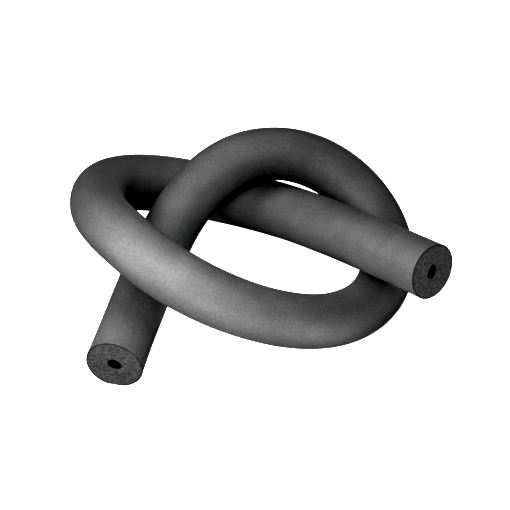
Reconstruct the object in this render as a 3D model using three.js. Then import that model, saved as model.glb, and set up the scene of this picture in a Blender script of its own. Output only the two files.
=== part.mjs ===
// Pipe insulation tube, tied in a loose overhand knot.
//
// One length of closed-cell rubber foam tube with a small bore, cut square at both ends. It lies
// unheld on a level floor: the knot's three lower passes touch the floor, and its upper passes
// cross above them.
//
// Units are millimetres, +Z is up. The first tail runs along Y, its cut end facing -Y. The origin
// is the middle of the footprint, on the floor.

import * as THREE from 'three';
import { NURBSCurve } from 'three/addons/curves/NURBSCurve.js';

// The tube: it fits a pipe of the bore's diameter
const BORE_DIAMETER = 8;
const WALL_THICKNESS = 13;
const OUTER_DIAMETER = BORE_DIAMETER + 2 * WALL_THICKNESS;

// The free space left between a pass and the pass that it lies on
const CONTACT_GAP = 0.5;

// The two tails, each measured from the last point of the knot to its cut end
const FIRST_TAIL_LENGTH = 40;
const SECOND_TAIL_LENGTH = 45;

// The way that each cut end faces: the first lies flat, and the second rises a little
const FIRST_END_FACING = new THREE.Vector3(0, -1, 0);
const SECOND_END_FACING = new THREE.Vector3(0.83, -0.5, 0.22).normalize();

// How finely the skin, the bore and the length are divided
const SKIN_SIDES = 24;
const BORE_SIDES = 12;
const LENGTH_STEPS = 72;

// The knot's route, as the control points of one smooth curve from the first tail to the second.
// Each is [x, y, lift]: x and y are in tube diameters, and lift is in layers. A pass at lift 0 lies
// on the floor, and a pass at lift 1 lies on one tube. A point a little below 0 only draws the
// curve down to the floor beside it.
const KNOT_ROUTE = [
  // under the front bow, flat on the floor
  [-2.00, -1.35, 0.00],
  [-2.00, -0.05, 0.00],
  // up over the back pass
  [-1.80, 1.08, 0.50],
  [-1.13, 1.98, 1.13],
  // round the far side and down to the floor, under the second tail
  [0.02, 2.58, 1.09],
  [1.20, 2.55, 0.52],
  [2.07, 1.70, 0.02],
  [2.24, 0.40, -0.03],
  // the front bow, which climbs over the first tail
  [1.73, -0.75, 0.22],
  [0.80, -1.49, 0.73],
  [-0.30, -1.79, 1.24],
  [-1.50, -1.56, 1.60],
  [-2.54, -0.75, 1.59],
  // the tight turn, down to the floor
  [-3.12, 0.20, 1.05],
  [-3.33, 1.42, 0.56],
  [-2.31, 2.25, 0.03],
  // the back pass, on the floor
  [-1.02, 2.20, -0.03],
  [0.13, 1.77, 0.26],
  // up over the right side
  [1.12, 1.07, 0.71],
  [2.08, 0.40, 1.09],
];

// A closed circle of points, for the tube's section
function circlePoints(radius, sides) {
  const points = [];
  for (let i = 0; i < sides; i += 1) {
    const angle = (i / sides) * 2 * Math.PI;
    points.push(new THREE.Vector2(radius * Math.cos(angle), radius * Math.sin(angle)));
  }
  return points;
}

// The control points in millimetres, from one cut end to the other
function routePoints() {
  const layer = OUTER_DIAMETER + CONTACT_GAP;
  const points = KNOT_ROUTE.map(([x, y, lift]) => new THREE.Vector3(
    x * OUTER_DIAMETER,
    y * OUTER_DIAMETER,
    OUTER_DIAMETER / 2 + lift * layer,
  ));
  const firstEnd = points[0].clone().addScaledVector(FIRST_END_FACING, FIRST_TAIL_LENGTH);
  const secondEnd = points[points.length - 1].clone().addScaledVector(SECOND_END_FACING, SECOND_TAIL_LENGTH);
  return [firstEnd, ...points, secondEnd];
}

// The centre line: a cubic B-spline that starts and ends on the first and the last point
function centreLine() {
  const degree = 3;
  const points = routePoints().map((point) => new THREE.Vector4(point.x, point.y, point.z, 1));
  const spans = points.length - degree;
  const knots = [];
  for (let i = -degree; i <= spans + degree; i += 1) {
    knots.push(Math.min(Math.max(i / spans, 0), 1));
  }
  const curve = new NURBSCurve(degree, knots, points);
  curve.arcLengthDivisions = 40 * LENGTH_STEPS;
  return curve;
}

// The section: the foam wall between the skin and the bore
const section = new THREE.Shape(circlePoints(OUTER_DIAMETER / 2, SKIN_SIDES));
section.holes.push(new THREE.Path(circlePoints(BORE_DIAMETER / 2, BORE_SIDES)));

const tubeGeometry = new THREE.ExtrudeGeometry(section, {
  steps: LENGTH_STEPS,
  extrudePath: centreLine(),
  bevelEnabled: false,
});

// Charcoal foam: matte, with a little satin on the skin
const foam = new THREE.MeshStandardMaterial({ color: 0x4b4b4d, roughness: 0.7, metalness: 0 });

const insulationTube = new THREE.Mesh(tubeGeometry, foam);
insulationTube.name = 'insulation_tube';

// The knot is moved as a whole until the middle of its footprint is at the origin
tubeGeometry.computeBoundingBox();
const box = tubeGeometry.boundingBox;
insulationTube.position.set(
  -(box.min.x + box.max.x) / 2,
  -(box.min.y + box.max.y) / 2,
  -box.min.z,
);

const knottedInsulation = new THREE.Group();
knottedInsulation.add(insulationTube);

export default knottedInsulation;
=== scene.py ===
"""Pipe insulation tube tied in a loose overhand knot, lying on a wide sheet of white paper.

The tube is one length of charcoal nitrile rubber foam, so the object is one piece. Units are metres,
+Z is up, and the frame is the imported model's.
"""

import math

import bpy
import numpy as np
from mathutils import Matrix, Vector


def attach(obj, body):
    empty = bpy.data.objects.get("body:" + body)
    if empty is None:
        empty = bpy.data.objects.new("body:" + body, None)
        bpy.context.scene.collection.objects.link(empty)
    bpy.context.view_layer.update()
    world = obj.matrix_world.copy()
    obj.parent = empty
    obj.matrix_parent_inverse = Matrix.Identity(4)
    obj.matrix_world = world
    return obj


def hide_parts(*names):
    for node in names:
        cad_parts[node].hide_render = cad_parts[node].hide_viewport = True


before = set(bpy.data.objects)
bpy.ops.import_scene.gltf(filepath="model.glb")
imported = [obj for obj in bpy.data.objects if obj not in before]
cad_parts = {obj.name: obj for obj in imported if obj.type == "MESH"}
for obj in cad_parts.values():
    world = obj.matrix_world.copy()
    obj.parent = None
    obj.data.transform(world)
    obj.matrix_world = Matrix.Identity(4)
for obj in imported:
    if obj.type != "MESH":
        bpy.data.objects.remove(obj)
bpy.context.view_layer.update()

# Camera
# The photograph looks down on the knot from a little to its right, with a long lens from far off, so
# the two cut ends come out almost the same size. The knot sits in the middle of the picture.

CAMERA_AZIMUTH = math.radians(14.1)
CAMERA_ELEVATION = math.radians(44.2)
CAMERA_DISTANCE = 2.38
LENS_LENGTH = 275
LOOKED_AT = Vector((0.0040, -0.0086, 0.0272))
AIM_OFF_CENTRE = (-0.0026, 0.0121)  # right and up in the picture, from the point looked at


def studio_camera():
    """A camera at its distance from the point looked at, turned to the aim beside that point.

    It stands in the direction (sin a cos e, -cos a cos e, sin e), a the azimuth and e the elevation.
    """
    toward = Vector((
        math.sin(CAMERA_AZIMUTH) * math.cos(CAMERA_ELEVATION),
        -math.cos(CAMERA_AZIMUTH) * math.cos(CAMERA_ELEVATION),
        math.sin(CAMERA_ELEVATION),
    ))
    right = Vector((0, 0, 1)).cross(toward).normalized()
    up = toward.cross(right)
    aim = LOOKED_AT + AIM_OFF_CENTRE[0] * right + AIM_OFF_CENTRE[1] * up
    camera = bpy.data.objects.new("camera", bpy.data.cameras.new("camera"))
    bpy.context.scene.collection.objects.link(camera)
    camera.data.lens = LENS_LENGTH
    camera.location = LOOKED_AT + CAMERA_DISTANCE * toward
    camera.rotation_euler = (aim - camera.location).to_track_quat("-Z", "Y").to_euler()
    return camera


bpy.context.scene.camera = studio_camera()

# Insulation tube
# One length of extruded closed-cell nitrile rubber foam, with a thin smooth skin outside and a small
# bore for the pipe. It was cut square at both ends with a knife and tied in a loose overhand knot, and
# nothing holds it but itself and the floor.

BORE_DIAMETER = 0.008
WALL_THICKNESS = 0.013
OUTER_DIAMETER = BORE_DIAMETER + 2 * WALL_THICKNESS
CONTACT_GAP = 0.0005
FIRST_TAIL_LENGTH = 0.0405  # 0.5 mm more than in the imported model, as the photograph shows it
SECOND_TAIL_LENGTH = 0.046  # 1 mm more
FIRST_END_FACING = np.array([0.0, -1.0, 0.0])
SECOND_END_FACING = np.array([0.83, -0.50, 0.22])
FOOTPRINT_MIDDLE = (-0.00401, 0.008585)  # of the knot, in the route's own plan

# The knot's control points, each [x, y, lift, fullness]: x and y in tube diameters, lift in layers above
# the floor, and fullness as the share of its own diameter that the foam keeps there. It is drawn thin
# round the far and right sides, and squeezed fat on the left, where it turns most tightly.
KNOT_ROUTE = np.array([
    # under the front bow, flat on the floor
    [-2.00, -1.35, 0.00, 1.01],
    [-2.00, -0.05, 0.00, 1.01],
    # up over the back pass
    [-1.80, 1.08, 0.50, 0.99],
    [-1.13, 1.98, 1.13, 0.97],
    # round the far side and down to the floor, under the second tail
    [0.02, 2.58, 1.09, 0.97],
    [1.20, 2.55, 0.52, 0.97],
    [2.07, 1.70, 0.02, 0.96],
    [2.24, 0.40, -0.03, 0.96],
    # the front bow, which climbs over the first tail
    [1.73, -0.75, 0.22, 0.97],
    [0.80, -1.49, 0.73, 0.99],
    [-0.30, -1.79, 1.24, 1.02],
    [-1.50, -1.56, 1.60, 1.04],
    [-2.54, -0.75, 1.59, 1.03],
    # the tight turn, down to the floor
    [-3.12, 0.20, 1.05, 1.01],
    [-3.33, 1.42, 0.56, 1.02],
    [-2.31, 2.25, 0.03, 1.05],
    # the back pass, on the floor
    [-1.02, 2.20, -0.03, 1.01],
    [0.13, 1.77, 0.26, 0.99],
    # up over the right side
    [1.12, 1.07, 0.71, 1.00],
    [2.08, 0.40, 1.09, 1.00],
])
ROUTE_SAMPLES = 4001
SHORT_OF_THE_END = 1e-9  # how far from 1 the curve's parameter stops, as the last span excludes its end


def route_points():
    """The control points as x, y, z in metres and the fullness, with each tail's cut end added."""
    layer = OUTER_DIAMETER + CONTACT_GAP
    points = KNOT_ROUTE * [OUTER_DIAMETER, OUTER_DIAMETER, layer, 1]
    points -= [*FOOTPRINT_MIDDLE, -OUTER_DIAMETER / 2, 0]
    second_way = SECOND_END_FACING / np.linalg.norm(SECOND_END_FACING)
    first_end = points[0] + [*(FIRST_TAIL_LENGTH * FIRST_END_FACING), 0]
    second_end = points[-1] + [*(SECOND_TAIL_LENGTH * second_way), 0]
    return np.vstack([first_end, points, second_end])


def read_off(places, distances, values):
    """The values at places along the line, each column on straight lines between its known distances."""
    return np.stack([np.interp(places, distances, column) for column in values.T], axis=1)


def smooth_line(points, samples):
    """A cubic B-spline from the first point to the last: samples at even distances, and the distances.

    A point of the curve is the sum of the control points, each times its weight. The weights are built up
    over three degrees from the spans between the knots, each from two weights of the degree before.
    """
    degree = 3
    spans = len(points) - degree
    knots = np.clip(np.arange(-degree, spans + degree + 1) / spans, 0, 1)
    u = np.linspace(0, 1 - SHORT_OF_THE_END, samples)[:, None]
    weights = ((knots[:-1] <= u) & (u < knots[1:])).astype(float)
    for d in range(1, degree + 1):
        width = knots[d:] - knots[:-d]
        share = (u - knots[:-d]) / np.where(width > 0, width, 1)
        weights = weights[:, :-1] * share[:, :-1] + weights[:, 1:] * (1 - share[:, 1:])
    line = weights @ points
    steps = np.linalg.norm(np.diff(line[:, :3], axis=0), axis=1)
    travelled = np.concatenate([[0], np.cumsum(steps)])
    distances = np.linspace(0, travelled[-1], samples)
    return read_off(distances, travelled, line), distances


ROUTE, DISTANCES = smooth_line(route_points(), ROUTE_SAMPLES)
CENTRE_LINE, FULLNESS = ROUTE[:, :3], ROUTE[:, 3:]
LENGTH = DISTANCES[-1]

# How finely the wall is divided, round the tube and along its outline
SIDES = 108
SKIN_RINGS = 560
FACE_RINGS = 18
BORE_RINGS = 150
RIM_RINGS = 5

SKIN, CUT, BORE = range(3)  # the finishes, in the order of the mesh's materials
SKIN_RIM = 0.0003  # the round that the foam keeps where the knife went through the skin
BORE_RIM = 0.0004
FLARES = (0.0006, 0.0004)  # how far the foam spreads at the first and the second cut
FLARE_LENGTH = 0.012
CUT_WAVE = 0.0002  # how far the knife wandered from square
CUT_WAVE_LAG = 5  # radians by which that wave shifts from the middle of the cut to its edge
SKIN_SWELL = 0.0001  # how uneven the skin is, in slow swells
SWELL_WAVES = ((0.007, 2), (0.011, -3), (0.019, 1))  # metres along the tube per radian, waves round it
BORE_OUT_OF_ROUND = 0.11
BORE_PINCHES = (-0.07, 0.04)
BORE_TILTS = (math.radians(19), math.radians(40))  # of the bore's long way, at the two ends


def wall_outline():
    """The wall cut lengthwise: its closed outline, as distances along the tube and from the centre line.

    It runs along the skin, round a rim and in across the second cut end, back along the bore and out
    across the first cut end, which is the second one's mirror image. Each rim is a quarter circle, by the
    sine and cosine of its turn. The last array says which finish follows each point.
    """
    outer, inner = OUTER_DIAMETER / 2, BORE_DIAMETER / 2
    turn = np.linspace(0, math.pi / 2, RIM_RINGS + 1)
    face = np.linspace(outer - SKIN_RIM, inner + BORE_RIM, FACE_RINGS)[1:-1]
    end_depth = np.concatenate([SKIN_RIM * (1 - np.sin(turn)), 0 * face, BORE_RIM * (1 - np.cos(turn))])
    end_radius = np.concatenate([
        outer - SKIN_RIM * (1 - np.cos(turn)),
        face,
        inner + BORE_RIM * (1 - np.sin(turn)),
    ])
    skin = np.linspace(SKIN_RIM, LENGTH - SKIN_RIM, SKIN_RINGS)[1:-1]
    bore = np.linspace(LENGTH - BORE_RIM, BORE_RIM, BORE_RINGS)[1:-1]
    along = np.concatenate([skin, LENGTH - end_depth, bore, end_depth[::-1]])
    radius = np.concatenate([0 * skin + outer, end_radius, 0 * bore + inner, end_radius[::-1]])
    # The skin's finish goes half way round its rim, and the cut's from there to the bore.
    still_skin = RIM_RINGS // 2
    cut = len(end_depth) - still_skin
    counts = [len(skin) + still_skin, cut, len(bore), cut - 1, still_skin + 1]
    finish = np.repeat([SKIN, CUT, BORE, CUT, SKIN], counts)
    return along, radius, finish


def tube_surface():
    """The outline carried along the centre line and once round it: the points, and where each was before.

    Across the line, the section's first direction is level and to the left, and its second is square to
    that. The radius is the outline's, times the fullness. Near a cut it grows by the flare, and the cut's
    wave moves the foam along the tube by cos(2 angle + lag radius / outer radius), and both fade as
    exp(-distance / flare length). The bore's radius goes by 1 + out-of-round cos(2 (angle - tilt)) +
    pinch cos(3 (angle - tilt)), and that wears off across the wall. The skin swells by the mean of three
    slow sine waves over the tube's length and angle. No point goes below the floor, where the foam
    flattens. Where each point was before the knot is its place in the same tube, laid straight along Z.
    """
    along, radius, finish = wall_outline()
    direction = np.gradient(CENTRE_LINE, DISTANCES, axis=0)
    direction /= np.linalg.norm(direction, axis=1, keepdims=True)
    level = np.cross([0, 0, 1], direction)
    level /= np.linalg.norm(level, axis=1, keepdims=True)
    raised = np.cross(direction, level)
    middle, level, raised, forward = (
        read_off(along, DISTANCES, values)[:, None] for values in (CENTRE_LINE, level, raised, direction)
    )
    fullness = read_off(along, DISTANCES, FULLNESS)

    angle = np.linspace(0, 2 * math.pi, SIDES, endpoint=False)[None]
    inner, outer = BORE_DIAMETER / 2, OUTER_DIAMETER / 2
    length, radius = along[:, None], radius[:, None]
    depth = (outer - radius) / (outer - inner)
    near_cut = np.exp(-np.minimum(length, LENGTH - length) / FLARE_LENGTH)
    flare, tilt, pinch = (
        np.interp(length, [0, LENGTH], ends) for ends in (FLARES, BORE_TILTS, BORE_PINCHES)
    )
    bore_shape = BORE_OUT_OF_ROUND * np.cos(2 * (angle - tilt)) + pinch * np.cos(3 * (angle - tilt))
    swell = sum(np.sin(length / metres + waves * angle) for metres, waves in SWELL_WAVES)
    reach = radius * (1 + (fullness - 1) * (1 - depth)) * (1 + bore_shape * depth**3)
    reach += (flare * near_cut + SKIN_SWELL * swell / len(SWELL_WAVES)) * (1 - depth)
    wander = CUT_WAVE * near_cut * np.cos(2 * angle + CUT_WAVE_LAG * radius / outer)

    across, up = np.cos(angle)[..., None], np.sin(angle)[..., None]
    points = middle + reach[..., None] * (across * level + up * raised) + wander[..., None] * forward
    points[..., 2] = np.maximum(points[..., 2], 0)
    straight = np.stack([radius * np.cos(angle), radius * np.sin(angle), length + 0 * angle], axis=2)
    return points, straight, finish


def closed_mesh(name, points, straight, finish):
    """A mesh over a grid of points that closes on itself both ways.

    Each four neighbours share a face, and each row of faces takes its row's finish.
    """
    rows, columns = points.shape[:2]
    corner = np.arange(rows * columns).reshape(rows, columns)
    beside = np.roll(corner, -1, axis=1)
    ahead = np.roll(corner, -1, axis=0)
    faces = np.stack([corner, beside, np.roll(ahead, -1, axis=1), ahead], axis=2).reshape(-1, 4)
    mesh = bpy.data.meshes.new(name)
    mesh.from_pydata(points.reshape(-1, 3), [], faces)
    mesh.polygons.foreach_set("material_index", np.repeat(finish, columns))
    mesh.polygons.foreach_set("use_smooth", np.ones(len(faces), bool))
    laid_straight = mesh.attributes.new("laid_straight", "FLOAT_VECTOR", "POINT")
    laid_straight.data.foreach_set("vector", straight.ravel())
    mesh.update()
    return mesh


def hex_colour(code):
    """An sRGB hex colour as linear RGBA.

    Each channel is c / 12.92 up to 0.04045, and ((c + 0.055) / 1.055) ** 2.4 above it.
    """
    channels = [int(code[i:i + 2], 16) / 255 for i in (1, 3, 5)]
    linear = [c / 12.92 if c <= 0.04045 else ((c + 0.055) / 1.055) ** 2.4 for c in channels]
    return (*linear, 1)


def add_node(material, kind, inputs, **fields):
    """Adds a node with its fields, and sets or links each input that is given, by name or number."""
    node = material.node_tree.nodes.new(kind)
    for field, value in fields.items():
        setattr(node, field, value)
    for key, value in inputs.items():
        if isinstance(value, bpy.types.NodeSocket):
            material.node_tree.links.new(value, node.inputs[key])
        else:
            node.inputs[key].default_value = value
    return node


# The patterns, at the widths that they are drawn. The real grain and cells are near 0.3 mm, too fine for
# the picture, so both are drawn about four times as wide.
CLOUD_WIDTH = 0.011
GRAIN_WIDTH = 0.0011
LINE_SPACING = 0.002  # of the faint lines that the die left along the tube
LINE_STRETCH = 25
CELL_WIDTH = 0.0013
BLOTCH_WIDTH = 0.003
RELIEF = 0.0002  # the depth of the grain, of the lines and of the cut cells
SKIN_THICKNESS = 0.0015  # it shows as a darker ring on the cut
RING_FULL_DEPTH = 0.0004  # from here outwards the ring is at its darkest


def patterned_finish(name):
    """An empty material, and each point's place on the tube laid straight, which its patterns follow."""
    material = bpy.data.materials.new(name)
    material.use_nodes = True
    material.node_tree.nodes.clear()
    place = add_node(material, "ShaderNodeAttribute", {}, attribute_name="laid_straight")
    return material, place.outputs["Vector"]


def nitrile_foam_skin():
    """Extruded nitrile foam's own skin: a dull charcoal with a low satin sheen.

    It is finely grained and clouded, with faint lines along the tube, where the die drew it out.
    """
    material, place = patterned_finish("nitrile_foam_skin")
    clouds = add_node(
        material, "ShaderNodeTexNoise", {"Vector": place, "Scale": 1 / CLOUD_WIDTH, "Detail": 3}
    )
    grain = add_node(
        material, "ShaderNodeTexNoise", {"Vector": place, "Scale": 1 / GRAIN_WIDTH, "Detail": 3}
    )
    drawn_out = add_node(
        material, "ShaderNodeMapping", {"Vector": place, "Scale": (1, 1, 1 / LINE_STRETCH)}
    )
    lines = add_node(
        material,
        "ShaderNodeTexNoise",
        {"Vector": drawn_out.outputs["Vector"], "Scale": 1 / LINE_SPACING, "Detail": 2},
    )
    # Input 0 of a mix is how much of input 3 shows over input 2. The grain shows most.
    marks = add_node(
        material, "ShaderNodeMix", {0: 0.85, 2: lines.outputs["Fac"], 3: grain.outputs["Fac"]}
    )
    shade = add_node(
        material, "ShaderNodeMix", {0: 0.7, 2: clouds.outputs["Fac"], 3: marks.outputs[0]}
    )
    colour = add_node(material, "ShaderNodeValToRGB", {"Fac": shade.outputs[0]})
    colour.color_ramp.elements[0].position = 0.3
    colour.color_ramp.elements[0].color = hex_colour("#383838")
    colour.color_ramp.elements[1].position = 0.7
    colour.color_ramp.elements[1].color = hex_colour("#4c4c4c")
    grained = add_node(
        material,
        "ShaderNodeBump",
        {"Height": grain.outputs["Fac"], "Strength": 0.45, "Distance": RELIEF},
    )
    lined = add_node(
        material,
        "ShaderNodeBump",
        {
            "Height": lines.outputs["Fac"],
            "Normal": grained.outputs["Normal"],
            "Strength": 0.12,
            "Distance": RELIEF,
        },
    )
    surface = add_node(
        material,
        "ShaderNodeBsdfPrincipled",
        {"Base Color": colour.outputs["Color"], "Normal": lined.outputs["Normal"], "Roughness": 0.65},
    )
    add_node(material, "ShaderNodeOutputMaterial", {"Surface": surface.outputs["BSDF"]})
    return material


def cut_nitrile_foam():
    """Nitrile foam where the knife opened its cells: a dead matte charcoal, pitted and blotched, with
    painted shade in the pits.
    """
    material, place = patterned_finish("cut_nitrile_foam")
    cells = add_node(material, "ShaderNodeTexVoronoi", {"Vector": place, "Scale": 1 / CELL_WIDTH})
    blotches = add_node(
        material, "ShaderNodeTexNoise", {"Vector": place, "Scale": 1 / BLOTCH_WIDTH, "Detail": 3}
    )
    # Half blotches, half cells. The cells darken towards each pit's middle, which is painted shade, and
    # the blotches are the foam's own uneven tone.
    shade = add_node(
        material, "ShaderNodeMix", {0: 0.5, 2: blotches.outputs["Fac"], 3: cells.outputs["Distance"]}
    )
    colour = add_node(material, "ShaderNodeValToRGB", {"Fac": shade.outputs[0]})
    colour.color_ramp.elements[0].position = 0.3
    colour.color_ramp.elements[0].color = hex_colour("#292929")
    colour.color_ramp.elements[1].position = 0.65
    colour.color_ramp.elements[1].color = hex_colour("#434343")
    pitted = add_node(
        material,
        "ShaderNodeBump",
        {"Height": cells.outputs["Distance"], "Strength": 0.3, "Distance": RELIEF},
    )
    # The skin's own thickness is a darker ring at the outer edge.
    flat = add_node(material, "ShaderNodeVectorMath", {0: place, 1: (1, 1, 0)}, operation="MULTIPLY")
    from_middle = add_node(
        material, "ShaderNodeVectorMath", {0: flat.outputs["Vector"]}, operation="LENGTH"
    )
    ring = add_node(
        material,
        "ShaderNodeMapRange",
        {
            "Value": from_middle.outputs["Value"],
            "From Min": OUTER_DIAMETER / 2 - SKIN_THICKNESS,
            "From Max": OUTER_DIAMETER / 2 - RING_FULL_DEPTH,
        },
    )
    edged = add_node(
        material,
        "ShaderNodeMixRGB",
        {
            "Fac": ring.outputs["Result"],
            "Color1": colour.outputs["Color"],
            "Color2": hex_colour("#1a1a1a"),
        },
    )
    surface = add_node(
        material,
        "ShaderNodeBsdfPrincipled",
        {"Base Color": edged.outputs["Color"], "Normal": pitted.outputs["Normal"], "Roughness": 0.9},
    )
    add_node(material, "ShaderNodeOutputMaterial", {"Surface": surface.outputs["BSDF"]})
    return material


def nitrile_foam_bore_painted_shade():
    """The bore's own skin, formed on the die's pin: a near-black matte, painted shade darker than the
    foam, so that it reads as a deep hole.
    """
    material = bpy.data.materials.new("nitrile_foam_bore_painted_shade")
    material.use_nodes = True
    surface = material.node_tree.nodes["Principled BSDF"]
    # Painted shade: the near-black stands for the dark inside the deep, narrow bore.
    surface.inputs["Base Color"].default_value = hex_colour("#161616")
    surface.inputs["Roughness"].default_value = 0.8
    return material


tube_mesh = closed_mesh("insulation_foam_tube", *tube_surface())
tube = bpy.data.objects.new("insulation_foam_tube", tube_mesh)
bpy.context.scene.collection.objects.link(tube)
for finish in (nitrile_foam_skin(), cut_nitrile_foam(), nitrile_foam_bore_painted_shade()):
    tube_mesh.materials.append(finish)
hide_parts("insulation_tube")
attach(tube, "root")

# Floor
# A wide sheet of white paper, laid flat, and lit until it burns out to white with no shadow on it, as in
# the photograph. Cards among the lights stand in for the light that it would throw back at the knot,
# so it is hidden from the rays that would carry that light.

FLOOR_REACH = 6


def white_sweep():
    """White paper that also glows, so that every shadow on it burns out to white."""
    material = bpy.data.materials.new("white_paper_sweep")
    material.use_nodes = True
    surface = material.node_tree.nodes["Principled BSDF"]
    surface.inputs["Base Color"].default_value = hex_colour("#f4f4f4")
    surface.inputs["Roughness"].default_value = 0.9
    surface.inputs["Emission Color"].default_value = hex_colour("#ffffff")
    surface.inputs["Emission Strength"].default_value = 1.0
    return material


floor_mesh = bpy.data.meshes.new("floor")
floor_corners = [(x * FLOOR_REACH, y * FLOOR_REACH, 0) for x, y in ((-1, -1), (1, -1), (1, 1), (-1, 1))]
floor_mesh.from_pydata(floor_corners, [], [(0, 1, 2, 3)])
floor_mesh.materials.append(white_sweep())
floor = bpy.data.objects.new("floor", floor_mesh)
bpy.context.scene.collection.objects.link(floor)
floor.visible_diffuse = False
floor.visible_glossy = False

# Lights
# Soft lamps stand close to the knot, in front and to the left, so the left of the front bow is the
# brightest part and the right side falls off into the dark. Others fill in from further off, and cards
# on the floor stand in for the light that a white floor throws back.

KNOT_MIDDLE = Vector((0, 0, 0.03))
CARD_LIFT = 0.0005


def soft_light(name, place, size, power, facing=KNOT_MIDDLE):
    """A square area light at a place, turned to face the middle of the knot or another point."""
    light = bpy.data.lights.new(name, "AREA")
    light.size = size
    light.energy = power
    lamp = bpy.data.objects.new(name, light)
    lamp.location = place
    lamp.rotation_euler = (Vector(facing) - lamp.location).to_track_quat("-Z", "Y").to_euler()
    lamp.visible_camera = False
    bpy.context.scene.collection.objects.link(lamp)


def floor_card(name, x, y, size, power):
    """A square area light that lies on the floor and faces straight up."""
    soft_light(name, (x, y, CARD_LIFT), size, power, facing=(x, y, 1))


soft_light("key_softbox", (-0.099, -0.172, 0.228), size=0.12, power=1.02)
soft_light("top_softbox", (0.02, -0.10, 0.30), size=0.12, power=0.965)
soft_light("high_left_softbox", (-1.0, -0.3, 0.9), size=0.5, power=19.6)
soft_light("back_left_softbox", (-0.53, 0.53, 1.33), size=0.6, power=19)
soft_light("back_right_softbox", (0.7, 0.9, 0.55), size=0.8, power=4.93)
soft_light("low_front_lamp", (0, -0.30, 0.07), size=0.1, power=1.16)
soft_light("low_left_lamp", (-0.432, -0.25, 0.056), size=0.1, power=2.68)
soft_light("low_right_lamp", (0.432, -0.25, 0.056), size=0.1, power=1.52)
floor_card("right_floor_card", 0.29, -0.28, size=0.43, power=3.92)
floor_card("back_floor_card", -0.02, 0.21, size=0.2, power=0.35)
floor_card("back_right_floor_card", 0.25, 0.10, size=0.2, power=0.5)
floor_card("eye_floor_card", -0.008, -0.010, size=0.06, power=0.016)
floor_card("bow_floor_card", 0.02, -0.15, size=0.1, power=0.057)


def white_backdrop():
    """A world that is white to the camera and gives no light, so that only the lamps light the knot."""
    world = bpy.data.worlds.new("white_backdrop")
    world.use_nodes = True
    rays = world.node_tree.nodes.new("ShaderNodeLightPath")
    background = world.node_tree.nodes["Background"]
    background.inputs["Color"].default_value = hex_colour("#ffffff")
    world.node_tree.links.new(rays.outputs["Is Camera Ray"], background.inputs["Strength"])
    return world


bpy.context.scene.world = white_backdrop()

# Print
# The photograph is printed hard, with more contrast than the lamps give and with darks that reach black
# sooner. The view's gamma and black level follow that.

PRINT_CONTRAST = 1.5
BLACK_LEVEL = 0.08

view = bpy.context.scene.view_settings
view.view_transform = "Standard"
view.gamma = 1 / PRINT_CONTRAST
view.use_curve_mapping = True
view.curve_mapping.black_level = (BLACK_LEVEL,) * 3
view.curve_mapping.update()
